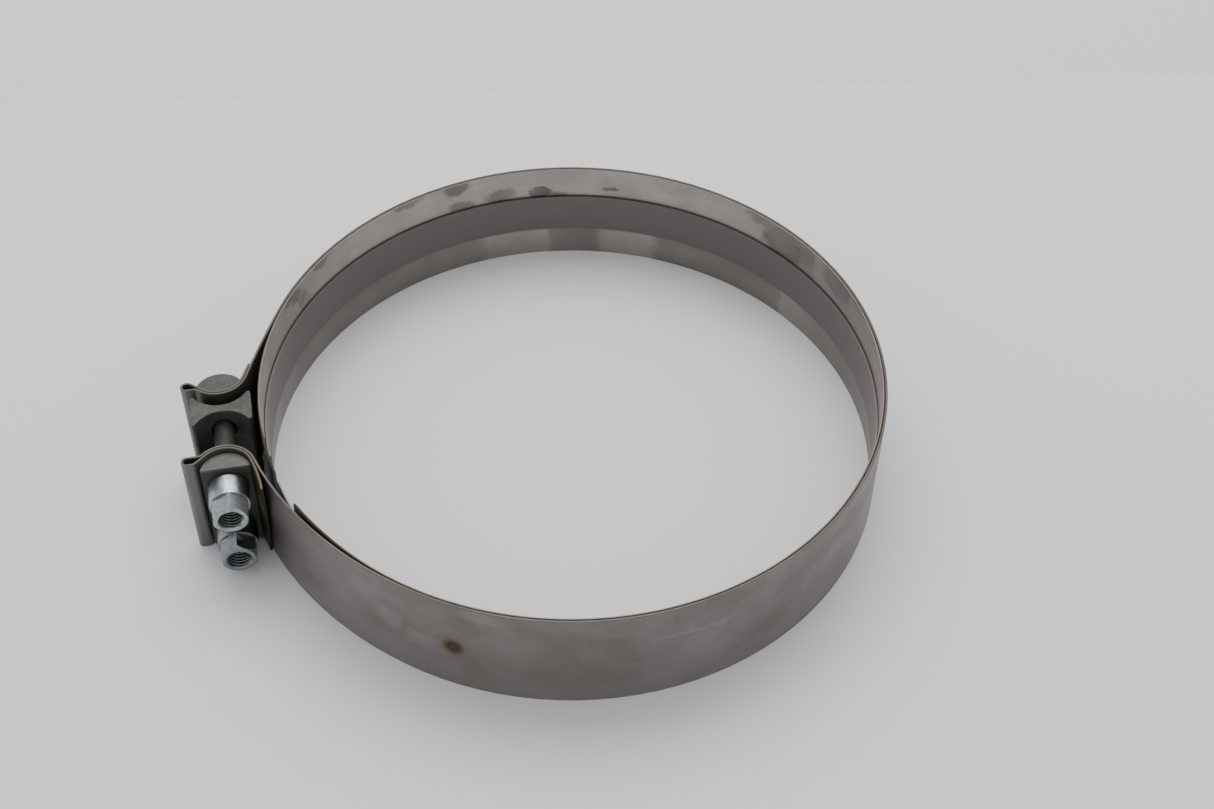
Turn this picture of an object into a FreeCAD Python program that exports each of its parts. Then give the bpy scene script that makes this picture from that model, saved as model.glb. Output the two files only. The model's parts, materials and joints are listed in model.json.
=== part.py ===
import FreeCAD, Part

import math
import os

from FreeCAD import Vector

# Wide flat-band clamp for joining or sealing round pipe, modelled as it is supplied: open, with
# the nuts just started on their bolts. Units are millimetres and degrees.
#
# Origin: the centre of the pipe bore at half the band's width. +Z runs along the bore and
# points up when the clamp stands on its rim, -X points at the ears, and the nuts face -Y.

# Round band: an outer strap over a liner, with a narrow seal belt inside.
BAND_RADIUS = 132.0
BAND_WIDTH = 50.8
STRAP = 1.0
LINER = 1.0
BELT = 1.1
BELT_WIDTH = 19.5
LAYER_GAP = 0.05
TONGUE_CLEARANCE = 0.35

# The band springs closed about this angle, on the side away from the ears, where a slit
# stands in for the bending of the whole ring.
SPRING_ANGLE = -10.5
SLIT = 0.3

# Where the layers end, as angles about the bore axis. The liner's two ends ease outwards.
LINER_REAR_END = 195.6
LINER_REAR_EASE = 176.0
LINER_REAR_RADIUS = 152.0
LINER_FRONT_END = -156.2
LINER_FRONT_EASE = -137.0
LINER_FRONT_RADIUS = 154.0
BELT_REAR_END = 185.5
BELT_FRONT_END = -168.0
TONGUE_START = -154.5

# Ears: each end of the strap is bent out over a round seat, folded back on itself in a loop
# and laid over the seat a second time.
BOLT_X = -146.0
BOLT_SPREAD = 25.0
FRONT_SEAT_Y = -29.4
REAR_SEAT_Y = 24.2
SEAT_RADIUS = 10.4
FOLD_GAP = 0.15
FOLD_RADIUS = 1.9
FRONT_REACH = 14.6
REAR_REACH = 13.3
FOLD_HEIGHT = 7.9
WAIST_RADIUS = 3.0
LOOP_RADIUS = 2.5
LOOP_RISE = 40.0
FRONT_LEAVE_ANGLE = -127.0
REAR_LEAVE_ANGLE = 154.0
EAR_HOLE = 11.5

# The strap's free ends, inside the ears: the angle about the seat at which each leaves it, the
# radius it bends on, positive towards the band, and its length. The front one is cut off slanted.
FRONT_TAIL = (19.0, -66.0, 18.0)
REAR_TAIL = (21.0, 80.0, 7.6)
SLANT_TOP_Y = -44.0
SLANT_BOTTOM_Y = -33.3

# Reaction block that floats on the bolts between the ears.
BLOCK_Y = 6.0
BLOCK_WIDTH = 25.0
BLOCK_LENGTH = 15.8
BLOCK_WAIST = 3.6
BLOCK_SEAT_RADIUS = 12.9
BLOCK_HEIGHT = 46.0
BLOCK_HOLE = 10.5
BLOCK_ROUND = 1.0

# Half-round clamp bar in the front ear.
BAR_RADIUS = 10.15
BAR_FLAT_Y = -27.5
BAR_HEIGHT = 46.0
BAR_HOLE = 10.6

# T-bolts, M10 x 1.5, with lens-shaped heads that lie in the rear ear.
HEAD_RADIUS = 10.1
HEAD_BACK_RADIUS = 10.5
HEAD_BACK_Y = 26.5
HEAD_HEIGHT = 20.0
SHANK = 8.7
THREAD = 10.0
THREAD_START_Y = -18.0
BOLT_TIP_Y = -36.0
TIP_CHAMFER = 1.0

# Collared hexagon nuts.
NUT_BORE = 10.1
NUT_COLLAR = 16.6
NUT_COLLAR_LENGTH = 11.0
NUT_COLLAR_CHAMFER = 1.5
NUT_FLATS = 14.0
NUT_HEX_LENGTH = 7.9
NUT_FACE = 13.5
NUT_MOUTH_CHAMFER = 0.3
NUT_SEAT_GAP = 0.05
UPPER_NUT_TURN = -3.0
LOWER_NUT_TURN = 0.0

EDGE_BREAK = 0.4

HALF_WIDTH = BAND_WIDTH / 2
BAND_MIDDLE = BAND_RADIUS - STRAP / 2
LINER_OUTER = BAND_RADIUS - STRAP - LAYER_GAP
BELT_OUTER = LINER_OUTER - LINER - LAYER_GAP
BORE_RADIUS = BELT_OUTER - BELT
BOLT_HEIGHTS = {"upper": BOLT_SPREAD / 2, "lower": -BOLT_SPREAD / 2}
UP = Vector(0, 0, 1)
AFT = Vector(0, 1, 0)


def polar(radius, angle):
    """The point at a radius and an angle about the origin."""
    turn = math.radians(angle)
    return Vector(radius * math.cos(turn), radius * math.sin(turn), 0)


def extruded(edges, low, high):
    """A solid whose outline is a closed ring of edges, between two heights."""
    face = Part.Face(Part.Wire(edges))
    solid = face.extrude(UP * (high - low))
    solid.translate(UP * low)
    return solid


def line(start, end):
    return Part.LineSegment(start, end).toShape()


def arc(start, middle, end):
    return Part.Arc(start, middle, end).toShape()


def outline(points):
    """Straight edges through a closed ring of points."""
    return [line(a, b) for a, b in zip(points, points[1:] + points[:1])]


def turned(points):
    """A solid of revolution about Y from points (radius, y)."""
    corners = [Vector(radius, y, 0) for radius, y in points]
    face = Part.Face(Part.Wire(outline(corners)))
    return face.revolve(Vector(0, 0, 0), AFT, 360)


def sector(inner, outer, first, last, height):
    """A curved plate between two radii and two angles, centred on the band's width."""
    middle = (first + last) / 2
    edges = [
        arc(polar(outer, first), polar(outer, middle), polar(outer, last)),
        line(polar(outer, last), polar(inner, last)),
        arc(polar(inner, last), polar(inner, middle), polar(inner, first)),
        line(polar(inner, first), polar(outer, first)),
    ]
    return extruded(edges, -height / 2, height / 2)


def slit_angle(side):
    """The angle at which the front (-1) or rear (+1) half starts, at its side of the slit."""
    return SPRING_ANGLE + side * math.degrees(SLIT / 2 / BAND_MIDDLE)


class Strap:
    """A bent strip of even thickness, drawn by walking along its middle line."""

    def __init__(self, start, heading, thickness=STRAP):
        self.place = start
        self.heading = heading
        self.left = []
        self.right = []
        self.sides = ((self.left, thickness / 2), (self.right, -thickness / 2))

    def _side(self, place, heading, offset):
        return place + polar(offset, heading + 90)

    def run(self, length):
        """Goes straight on."""
        end = self.place + polar(length, self.heading)
        for edges, offset in self.sides:
            first = self._side(self.place, self.heading, offset)
            last = self._side(end, self.heading, offset)
            edges.append(line(first, last))
        self.place = end

    def bend(self, radius, angle):
        """Bends by an angle, positive to the left."""
        lean = math.copysign(90, angle)
        centre = self.place + polar(radius, self.heading + lean)
        stops = []
        for share in (0.0, 0.5, 1.0):
            heading = self.heading + angle * share
            stops.append((centre - polar(radius, heading + lean), heading))
        for edges, offset in self.sides:
            points = [self._side(place, heading, offset) for place, heading in stops]
            edges.append(arc(*points))
        self.place, self.heading = stops[-1]

    def solid(self):
        """The strip at the band's full width."""
        first_left = self.left[0].Vertexes[0].Point
        first_right = self.right[0].Vertexes[0].Point
        last_left = self.left[-1].Vertexes[-1].Point
        last_right = self.right[-1].Vertexes[-1].Point
        ring = self.left + [line(last_left, last_right)]
        ring += self.right[::-1] + [line(first_right, first_left)]
        return extruded(ring, -HALF_WIDTH, HALF_WIDTH)


def strap_half(start_angle, leave_angle, seat_y, fold_reach, tail):
    """Half of the outer strap: round the bore clockwise, out over the ear's seat, round the
    fold and back over the seat. The seat is at a negative y. Gives this and its free end."""
    back_radius = SEAT_RADIUS + STRAP / 2
    seat_radius = back_radius + STRAP + FOLD_GAP
    seat = Vector(BOLT_X, seat_y, 0)

    # The flare is the arc that leaves the round and meets the seat's bend with no kink.
    out = polar(1, leave_angle)
    reach = out * BAND_MIDDLE - seat
    flare_radius = (reach.dot(reach) - seat_radius**2) / (2 * (seat_radius + reach.dot(out)))
    to_flare = out * (BAND_MIDDLE - flare_radius) - seat
    seat_start = math.degrees(math.atan2(to_flare.y, to_flare.x))
    seat_end = 180 - math.degrees(
        math.asin((FOLD_HEIGHT + WAIST_RADIUS) / (seat_radius + WAIST_RADIUS))
    )

    # The fold's two plies, measured from the seat's centre.
    waist = polar(seat_radius + WAIST_RADIUS, seat_end)
    inner_waist = WAIST_RADIUS + STRAP + FOLD_GAP
    rise = math.radians(LOOP_RISE)
    floor = FOLD_HEIGHT - 2 * FOLD_RADIUS
    rise_top = waist + Vector(inner_waist * math.sin(rise), -inner_waist * math.cos(rise), 0)
    climb = rise_top.y - floor - LOOP_RADIUS * (1 - math.cos(rise))
    rise_length = climb / math.sin(rise)
    floor_end = rise_top.x - climb / math.tan(rise) - LOOP_RADIUS * math.sin(rise)

    strap = Strap(polar(BAND_MIDDLE, start_angle), start_angle - 90)
    strap.bend(BAND_MIDDLE, leave_angle - start_angle)
    strap.bend(flare_radius, seat_start + 180 - leave_angle - 360)
    strap.bend(seat_radius, seat_end - seat_start)
    strap.bend(WAIST_RADIUS, 90 - seat_end)
    strap.run(fold_reach + waist.x)
    strap.bend(FOLD_RADIUS, 180)
    strap.run(fold_reach + floor_end)
    strap.bend(LOOP_RADIUS, LOOP_RISE)
    strap.run(rise_length)
    strap.bend(inner_waist, seat_end - 90 - LOOP_RISE)
    leave, radius, length = tail
    strap.bend(back_radius, leave - seat_end)
    free_end = Strap(strap.place, strap.heading)
    free_end.bend(abs(radius), math.degrees(length / radius))
    holes = bolt_holes(EAR_HOLE, seat_y, 2 * SEAT_RADIUS)
    return strap.solid().cut(holes), free_end.solid()


def bolt_holes(diameter, middle_y, length):
    """Two cylinders along the bolts, to cut their holes from a piece."""
    holes = []
    for height in BOLT_HEIGHTS.values():
        start = Vector(BOLT_X, middle_y - length, height)
        holes.append(Part.makeCylinder(diameter / 2, 2 * length, start, AFT))
    return Part.makeCompound(holes)


def outer_band_front():
    """The front half, with its free end cut off slanted."""
    half, free_end = strap_half(
        slit_angle(-1), FRONT_LEAVE_ANGLE, FRONT_SEAT_Y, FRONT_REACH, FRONT_TAIL
    )
    slant = [
        Vector(BOLT_X, SLANT_TOP_Y, HALF_WIDTH),
        Vector(BOLT_X, SLANT_BOTTOM_Y, -HALF_WIDTH),
        Vector(BOLT_X, 2 * SLANT_TOP_Y, -HALF_WIDTH),
        Vector(BOLT_X, 2 * SLANT_TOP_Y, HALF_WIDTH),
    ]
    waste = Part.Face(Part.Wire(outline(slant))).extrude(Vector(BAND_WIDTH, 0, 0))
    return half.fuse(free_end.cut(waste)).removeSplitter()


def outer_band_rear():
    """Made as a front half in mirrored places, then mirrored to the rear."""
    half, free_end = strap_half(
        -slit_angle(1), -REAR_LEAVE_ANGLE, -REAR_SEAT_Y, REAR_REACH, REAR_TAIL
    )
    return half.fuse(free_end).removeSplitter().mirror(Vector(0, 0, 0), AFT)


def liner_half(start_angle, ease_angle, ease_radius, end_angle):
    """Half of the liner, clockwise: even with the bore, then easing out on a wider bend."""
    middle = LINER_OUTER - LINER / 2
    strip = Strap(polar(middle, start_angle), start_angle - 90, LINER)
    strip.bend(middle, ease_angle - start_angle)
    strip.bend(ease_radius, (end_angle - ease_angle) * middle / ease_radius)
    return strip.solid()


def liner_front():
    return liner_half(slit_angle(-1), LINER_FRONT_EASE, LINER_FRONT_RADIUS, LINER_FRONT_END)


def liner_rear():
    """Made as a front half in mirrored places, then mirrored to the rear."""
    half = liner_half(-slit_angle(1), -LINER_REAR_EASE, LINER_REAR_RADIUS, -LINER_REAR_END)
    return half.mirror(Vector(0, 0, 0), AFT)


def seal_belt_rear():
    return sector(BORE_RADIUS, BELT_OUTER, slit_angle(1), BELT_REAR_END, BELT_WIDTH)


def seal_belt_front():
    """The front belt, which goes on past the liner's end as a thinner tongue that slips
    inside the rear liner."""
    belt = sector(BORE_RADIUS, BELT_OUTER, slit_angle(-1), TONGUE_START, BELT_WIDTH)
    tongue_outer = BELT_OUTER - TONGUE_CLEARANCE
    tongue = sector(BORE_RADIUS, tongue_outer, TONGUE_START, BELT_FRONT_END, BELT_WIDTH)
    return belt.fuse(tongue).removeSplitter()


def rim_edges(solid, height):
    """The edges of a solid that lie flat at its top and bottom."""
    found = []
    for edge in solid.Edges:
        heights = [abs(vertex.Z) for vertex in edge.Vertexes]
        if min(heights) > height / 2 - 0.01:
            found.append(edge)
    return found


def corner_edges(solid, reach):
    """The upright edges of a solid that lie at least this far in x from the bolts."""
    found = []
    for edge in solid.Edges:
        first, last = edge.Vertexes[0].Point, edge.Vertexes[-1].Point
        upright = abs(first.x - last.x) + abs(first.y - last.y) < 0.01
        if upright and abs(first.x - BOLT_X) > reach:
            found.append(edge)
    return found


def reaction_block():
    """A block hollowed on both sides to the round of the ears."""
    half_width = BLOCK_WIDTH / 2
    half_length = BLOCK_LENGTH / 2
    waist = BLOCK_WAIST / 2
    rise = BLOCK_SEAT_RADIUS - (half_length - waist)
    horn = math.sqrt(BLOCK_SEAT_RADIUS**2 - rise**2)
    edges = []
    for side in (-1, 1):
        tip_y = BLOCK_Y + side * half_length
        horns = [Vector(BOLT_X + x, tip_y, 0) for x in (-half_width, -horn, horn, half_width)]
        hollow = Vector(BOLT_X, BLOCK_Y + side * waist, 0)
        chain = [line(horns[0], horns[1]), arc(horns[1], hollow, horns[2])]
        chain.append(line(horns[2], horns[3]))
        edges += chain if side < 0 else chain[::-1]
        corner = Vector(BOLT_X - side * half_width, BLOCK_Y + half_length, 0)
        across = Vector(corner.x, BLOCK_Y - half_length, 0)
        edges.append(line(corner, across))
    block = extruded(edges, -BLOCK_HEIGHT / 2, BLOCK_HEIGHT / 2)
    block = block.makeFillet(BLOCK_ROUND, corner_edges(block, half_width - 0.01))
    block = block.makeChamfer(EDGE_BREAK, rim_edges(block, BLOCK_HEIGHT))
    return block.cut(bolt_holes(BLOCK_HOLE, BLOCK_Y, BLOCK_LENGTH))


def clamp_bar():
    """A round bar with a flat for the nuts."""
    rise = BAR_FLAT_Y - FRONT_SEAT_Y
    half_chord = math.sqrt(BAR_RADIUS**2 - rise**2)
    left = Vector(BOLT_X - half_chord, BAR_FLAT_Y, 0)
    right = Vector(BOLT_X + half_chord, BAR_FLAT_Y, 0)
    crown = Vector(BOLT_X, FRONT_SEAT_Y + BAR_RADIUS, 0)
    bar = extruded([arc(left, crown, right), line(right, left)], -BAR_HEIGHT / 2, BAR_HEIGHT / 2)
    bar = bar.makeFillet(EDGE_BREAK, corner_edges(bar, half_chord - 0.01))
    bar = bar.makeChamfer(EDGE_BREAK, rim_edges(bar, BAR_HEIGHT))
    return bar.cut(bolt_holes(BAR_HOLE, FRONT_SEAT_Y, 2 * BAR_RADIUS))


def t_bolt(height):
    """A bolt with a lens-shaped head across the end of its shank."""
    front = Part.makeCylinder(HEAD_RADIUS, HEAD_HEIGHT, Vector(BOLT_X, REAR_SEAT_Y, 0))
    back_middle = Vector(BOLT_X, HEAD_BACK_Y - HEAD_BACK_RADIUS, 0)
    back = Part.makeCylinder(HEAD_BACK_RADIUS, HEAD_HEIGHT, back_middle)
    head = front.common(back)
    head.translate(UP * (-HEAD_HEIGHT / 2))
    head = head.makeChamfer(EDGE_BREAK, rim_edges(head, HEAD_HEIGHT))
    tip = THREAD / 2 - TIP_CHAMFER
    stem = turned(
        [
            (0, BOLT_TIP_Y),
            (tip, BOLT_TIP_Y),
            (THREAD / 2, BOLT_TIP_Y + TIP_CHAMFER),
            (THREAD / 2, THREAD_START_Y),
            (SHANK / 2, THREAD_START_Y + TIP_CHAMFER),
            (SHANK / 2, REAR_SEAT_Y),
            (0, REAR_SEAT_Y),
        ]
    )
    stem.translate(Vector(BOLT_X, 0, 0))
    bolt = head.fuse(stem).removeSplitter()
    bolt.translate(UP * height)
    return bolt


def nut(height, turn):
    """A hexagon nut with a long round collar on the bar's side and a plain bore."""
    seat = BAR_FLAT_Y - NUT_SEAT_GAP
    shoulder = seat - NUT_COLLAR_LENGTH
    face = shoulder - NUT_HEX_LENGTH
    corner = NUT_FLATS / math.sqrt(3)

    points = [Vector(0, 0, 0) + polar(corner, 60 * k) for k in range(6)]
    hexagon = extruded(outline(points), 0, NUT_HEX_LENGTH)
    hexagon.rotate(Vector(0, 0, 0), Vector(1, 0, 0), 90)
    hexagon.rotate(Vector(0, 0, 0), AFT, 30 - turn)
    hexagon.translate(AFT * shoulder)
    envelope = turned(
        [
            (0, shoulder),
            (corner, shoulder),
            (corner, face + corner - NUT_FACE / 2),
            (NUT_FACE / 2, face),
            (0, face),
        ]
    )
    bore = NUT_BORE / 2
    collar = turned(
        [
            (0, shoulder),
            (NUT_COLLAR / 2 - EDGE_BREAK, shoulder),
            (NUT_COLLAR / 2, shoulder + EDGE_BREAK),
            (NUT_COLLAR / 2, seat - NUT_COLLAR_CHAMFER),
            (NUT_COLLAR / 2 - NUT_COLLAR_CHAMFER, seat),
            (0, seat),
        ]
    )
    hole = turned(
        [
            (0, face - 1),
            (bore + NUT_MOUTH_CHAMFER + 1, face - 1),
            (bore, face + NUT_MOUTH_CHAMFER),
            (bore, seat + 1),
            (0, seat + 1),
        ]
    )
    body = hexagon.common(envelope).fuse(collar).cut(hole).removeSplitter()
    body.translate(Vector(BOLT_X, 0, height))
    return body


def pieces():
    """Every piece of the clamp by name."""
    made = {
        "outer_band_rear": outer_band_rear(),
        "outer_band_front": outer_band_front(),
        "liner_rear": liner_rear(),
        "liner_front": liner_front(),
        "seal_belt_rear": seal_belt_rear(),
        "seal_belt_front": seal_belt_front(),
        "reaction_block": reaction_block(),
        "clamp_bar": clamp_bar(),
        "nut_upper": nut(BOLT_HEIGHTS["upper"], UPPER_NUT_TURN),
        "nut_lower": nut(BOLT_HEIGHTS["lower"], LOWER_NUT_TURN),
    }
    for place, height in BOLT_HEIGHTS.items():
        made["t_bolt_" + place] = t_bolt(height)
    return made


def main():
    os.makedirs("parts", exist_ok=True)
    for name, shape in pieces().items():
        box = shape.BoundBox
        size = f"{box.XLength:.1f} x {box.YLength:.1f} x {box.ZLength:.1f}"
        print(f"{name}: {size} mm, {shape.Volume:.0f} mm3, valid {shape.isValid()}, "
              f"{len(shape.Solids)} solid")
        shape.exportStep(f"parts/{name}.step")


main()
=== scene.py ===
import json
import math

import bmesh
import bpy
from mathutils import Matrix, Vector


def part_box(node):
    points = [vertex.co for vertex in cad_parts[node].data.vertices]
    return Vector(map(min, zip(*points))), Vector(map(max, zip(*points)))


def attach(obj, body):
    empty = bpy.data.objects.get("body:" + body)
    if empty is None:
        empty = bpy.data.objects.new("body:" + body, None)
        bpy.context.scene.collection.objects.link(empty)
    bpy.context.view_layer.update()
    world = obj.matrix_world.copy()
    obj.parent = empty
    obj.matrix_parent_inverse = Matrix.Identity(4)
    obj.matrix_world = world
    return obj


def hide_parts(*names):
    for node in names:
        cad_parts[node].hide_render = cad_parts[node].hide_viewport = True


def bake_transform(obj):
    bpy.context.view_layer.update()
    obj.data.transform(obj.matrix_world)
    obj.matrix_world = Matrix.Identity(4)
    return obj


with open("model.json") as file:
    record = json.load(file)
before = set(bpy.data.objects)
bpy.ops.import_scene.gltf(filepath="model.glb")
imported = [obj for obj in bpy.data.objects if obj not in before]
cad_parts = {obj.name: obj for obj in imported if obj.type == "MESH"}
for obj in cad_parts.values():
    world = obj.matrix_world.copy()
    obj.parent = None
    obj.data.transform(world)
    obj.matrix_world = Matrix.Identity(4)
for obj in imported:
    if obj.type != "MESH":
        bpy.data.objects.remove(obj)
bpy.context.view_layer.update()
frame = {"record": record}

# Sizes are in millimetres until a mesh is made, and angles in degrees.
MM = 0.001


def in_mm(place):
    """A place in the frame, in millimetres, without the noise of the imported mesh's digits."""
    return Vector([round(value / MM, 2) for value in place])


def node_box(node):
    return [in_mm(corner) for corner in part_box(node)]


JOINTS = {joint["name"]: joint for joint in frame["record"]["behaviour"]["joints"]}
MOUNTS = {mount["name"]: mount for mount in frame["record"]["mounts"]}

# Round band: a strap over a liner, with a belt inside. All three bend at the spring only, and
# within a short reach of it.
STRAP = 1.0
LINER = 1.0
BELT = 1.1
LAYER_GAP = 0.05
TONGUE_CLEARANCE = 0.35
BORE_RADIUS = MOUNTS["pipe_bore"]["dims"]["r_mm"]
BELT_OUTER = BORE_RADIUS + BELT
LINER_OUTER = BELT_OUTER + LAYER_GAP + LINER
BAND_MIDDLE = LINER_OUTER + LAYER_GAP + STRAP / 2
HALF_WIDTH = node_box("outer_band_rear")[1].z
BELT_HALF = node_box("seal_belt_rear")[1].z
SPRING = Vector(JOINTS["band_close"]["pos_m"][:2]) / MM
SPRING_ANGLE = round(math.degrees(math.atan2(SPRING.y, SPRING.x)), 2)

# Where the liner and belt end, as angles about the bore. The liner's ends ease outwards from one
# angle, on a wider radius.
LINER_FRONT_END = -156.2
LINER_FRONT_EASE = (-137.0, 154.0)
LINER_REAR_END = 195.6
LINER_REAR_EASE = (176.0, 152.0)
BELT_FRONT_END = -154.5
BELT_REAR_END = 185.5
TONGUE_START = -153.5
TONGUE_END = -168.0

# Ears: each end of the strap leaves the round at one angle, goes out over a round seat, round a
# fold and back over the seat. The rear ear is worked out as a front one and then mirrored.
BOLT_PLACES = {place: in_mm(JOINTS[f"nut_{place}_spin"]["pos_m"]) for place in ("upper", "lower")}
BOLT_X = BOLT_PLACES["upper"].x
BOLT_HEIGHT = BOLT_PLACES["upper"].z
FRONT_SEAT_Y = -29.4
REAR_SEAT_Y = 24.2
FRONT_LEAVE_ANGLE = -127.0
REAR_LEAVE_ANGLE = -154.0
FRONT_REACH = 14.6
REAR_REACH = 13.3
SEAT_RADIUS = 10.4
FOLD_GAP = 0.15
FOLD_RADIUS = 1.9
FOLD_HEIGHT = 7.9
WAIST_RADIUS = 3.0
LOOP_RADIUS = 2.5
LOOP_RISE = 40.0
EAR_HOLE = 11.5

# The strap's free ends: the angle about the seat at which each leaves it, the radius it bends
# on, positive towards the band, and its length. The front one is cut off slanted.
FRONT_TAIL = (19.0, -66.0, 18.0)
REAR_TAIL = (21.0, 80.0, 7.6)
SLANT = 10.7

# Reaction block and clamp bar. Their outer sizes are the frame's.
BLOCK_WAIST = 3.6
BLOCK_HOLLOW = 12.9
BLOCK_ROUND = 1.0
BLOCK_HOLE = 10.5
BLOCK_WEAR = 0.45
BAR_HOLE = 10.6
BAR_WEAR = 0.4
CUT_FACE = node_box("reaction_block")[1].z

# Threads: the bolt's radius at its roots, the nut's at its crests, and the depth of both.
PITCH = 1.5
THREAD_DEPTH = 0.83
BOLT_ROOT = 4.12
NUT_CREST = 4.24

# T-bolts, with lens-shaped heads. The thread is rolled, so the shank is thinner than it.
HEAD_RADIUS = 10.1
HEAD_BACK_RADIUS = 10.5
HEAD_BACK_Y = 26.5
HEAD_HALF = 10.0
HEAD_WEAR = 0.5
SHANK_RADIUS = 4.35
SHANK_END_Y = 15.5
THREAD_START_Y = -18.0
TIP_Y = -36.0
TIP_RADIUS = 4.0

# Nuts: a hexagon with a round collar, from its face back to its seat on the bar.
NUT_FACE_Y = -46.45
NUT_SHOULDER_Y = -38.55
NUT_SEAT_Y = -27.55
NUT_FLATS = 14.0
NUT_FACE_RADIUS = 6.3
NUT_COLLAR_RADIUS = 8.3
NUT_BORE_RADIUS = 5.3
NUT_MOUTH_RADIUS = 5.35
NUT_WEAR = 0.16
UPPER_NUT_TURN = -3.0
LOWER_NUT_TURN = 0.0


def polar(radius, angle):
    turn = math.radians(angle)
    return Vector((radius * math.cos(turn), radius * math.sin(turn)))


# ---------------------------------------------------------------- meshes

def mesh_object(name, points, faces):
    """An object from points in millimetres."""
    mesh = bpy.data.meshes.new(name)
    mesh.from_pydata([tuple(c * MM for c in p) for p in points], [], faces)
    mesh.validate()
    obj = bpy.data.objects.new(name, mesh)
    bpy.context.scene.collection.objects.link(obj)
    return obj


def settle(obj):
    """Bakes the object's modifiers into its mesh."""
    graph = bpy.context.evaluated_depsgraph_get()
    mesh = bpy.data.meshes.new_from_object(obj.evaluated_get(graph))
    obj.modifiers.clear()
    old = obj.data
    obj.data = mesh
    bpy.data.meshes.remove(old)
    mesh.name = obj.name
    return obj


def boolean(obj, other, operation="DIFFERENCE"):
    """Cuts, joins or crosses obj with another object, which this uses up."""
    step = obj.modifiers.new("boolean", "BOOLEAN")
    step.operation = operation
    step.solver = "EXACT"
    step.object = other
    settle(obj)
    bpy.data.objects.remove(other)
    return obj


def bevel(obj, width, segments=3, angle=32.0):
    """Rounds every edge that is sharper than an angle."""
    step = obj.modifiers.new("bevel", "BEVEL")
    step.width = width * MM
    step.segments = segments
    step.limit_method = "ANGLE"
    step.angle_limit = math.radians(angle)
    step.miter_outer = "MITER_ARC"
    return settle(obj)


def smooth(obj, angle=40.0):
    """Smooth faces with sharp corners kept, and flats that shade flat."""
    obj.data.shade_smooth()
    obj.data.set_sharp_from_angle(angle=math.radians(angle))
    step = obj.modifiers.new("normals", "WEIGHTED_NORMAL")
    step.keep_sharp = True
    step.weight = 80
    return obj


def join(parts):
    """One object from several."""
    with bpy.context.temp_override(
        active_object=parts[0], object=parts[0], selected_editable_objects=parts
    ):
        bpy.ops.object.join()
    return parts[0]


def prism(name, outline, low, high):
    """An upright prism over a closed outline of (x, y)."""
    count = len(outline)
    points = [(x, y, low) for x, y in outline] + [(x, y, high) for x, y in outline]
    faces = [tuple(range(count))[::-1], tuple(range(count, 2 * count))]
    faces += [(k, (k + 1) % count, count + (k + 1) % count, count + k) for k in range(count)]
    return mesh_object(name, points, faces)


def lathe(name, profile, x, z, sides=72):
    """A closed turned solid about a line along Y, from points (radius, y)."""
    points = []
    faces = []
    count = len(profile)
    for k in range(sides):
        turn = 2 * math.pi * k / sides
        points += [(x + r * math.sin(turn), y, z + r * math.cos(turn)) for r, y in profile]
    for k in range(sides):
        here, there = k * count, (k + 1) % sides * count
        for j in range(count - 1):
            faces.append((here + j, here + j + 1, there + j + 1, there + j))
    faces.append(tuple(k * count for k in range(sides)))
    faces.append(tuple(k * count + count - 1 for k in range(sides))[::-1])
    obj = mesh_object(name, points, faces)
    fix_normals(obj)
    return obj


def fix_normals(obj):
    """Turns every face outwards."""
    work = bmesh.new()
    work.from_mesh(obj.data)
    bmesh.ops.recalc_face_normals(work, faces=work.faces)
    work.to_mesh(obj.data)
    work.free()


def holes(diameter, middle_y, length):
    """Two cylinders along the bolts, as one cutter."""
    ends = [(diameter / 2, middle_y - length / 2), (diameter / 2, middle_y + length / 2)]
    return join([lathe("cutter", ends, bolt.x, bolt.z, 64) for bolt in BOLT_PLACES.values()])


# ---------------------------------------------------------------- strips

# How far the sheared long edges of a strip are rounded.
SHEARED_EDGE = 0.18


class Walk:
    """A path in the plane of runs and bends, measured along its length."""

    def __init__(self, place, heading):
        self.place = place
        self.heading = heading
        self.length = 0.0
        self.legs = []

    def _add(self, curve, length):
        self.legs.append((self.length, self.place, self.heading, curve, length))
        self.place, self.heading = self._go(self.place, self.heading, curve, length)
        self.length += length

    def _go(self, place, heading, curve, length):
        if curve == 0:
            return place + polar(length, heading), heading
        centre = place + polar(1 / curve, heading + 90)
        turned = heading + math.degrees(curve * length)
        return centre - polar(1 / curve, turned + 90), turned

    def run(self, length):
        self._add(0.0, length)

    def bend(self, radius, angle):
        self._add(math.copysign(1 / radius, angle), radius * math.radians(abs(angle)))

    def at(self, place):
        """The point and heading at a length along the path."""
        for start, point, heading, curve, length in self.legs:
            if place <= start + length + 1e-9:
                break
        return self._go(point, heading, curve, place - start)

    def stations(self, turn=4.0, stride=8.0):
        """Lengths to put a ring of vertices at: close together where the path turns."""
        found = [0.0]
        for start, _, _, curve, length in self.legs:
            turns = abs(math.degrees(curve * length)) / turn
            count = max(1, math.ceil(max(turns, length / stride)))
            found += [start + length * k / count for k in range(1, count + 1)]
        return found

    def reversed(self):
        back = Walk(self.place, self.heading + 180)
        for _, _, _, curve, length in self.legs[::-1]:
            back._add(-curve, length)
        return back

    def mirrored(self):
        """Mirrored front to rear."""
        start = self.legs[0]
        twin = Walk(Vector((start[1].x, -start[1].y)), -start[2])
        for _, _, _, curve, length in self.legs:
            twin._add(-curve, length)
        return twin

    def joined(self, other):
        for _, _, _, curve, length in other.legs:
            self._add(curve, length)
        return self


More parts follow.
